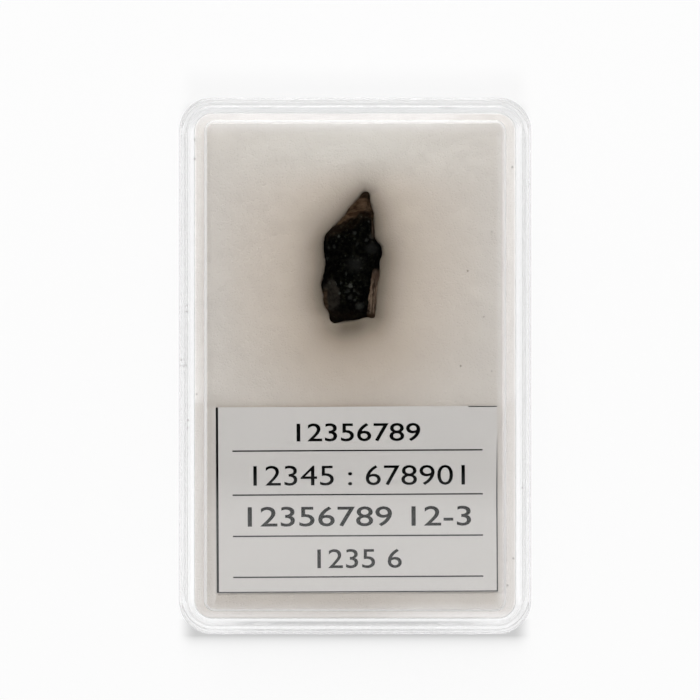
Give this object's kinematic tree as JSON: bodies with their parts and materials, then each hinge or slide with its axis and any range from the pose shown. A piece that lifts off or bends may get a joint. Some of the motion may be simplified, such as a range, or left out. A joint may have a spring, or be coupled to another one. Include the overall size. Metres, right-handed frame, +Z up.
{
  "type": "boxed chondrite meteorite specimen",
  "caption": "Small black chondrite meteorite fragment pressed into a white foam pad in a clear rounded specimen box with a lift-off lid and a paper label.",
  "frame": {"origin": "middle of the clear box's underside, on the surface that it lies on", "axes": "+Y along the box's long side, from the label towards the stone; +X along its short side; +Z up through the lid"},
  "size_m": [0.042, 0.064, 0.016],
  "materials": {
    "clear_tray": "clear polished polystyrene",
    "clear_lid": "clear polished polystyrene with fine scratches and a few dust specks",
    "foam": "soft white open-cell foam, browner round the stone",
    "paper": "matt white paper with a black printed border and ruled lines",
    "stone": "matt black broken stone with small grey chondrules and brown weathered faces"
  },
  "bodies": {
    "root": {"base_tray": "clear_tray", "case_lid": "clear_lid", "foam_pad": "foam", "label_card": "paper", "meteorite": "stone"}
  },
  "joints": []
}
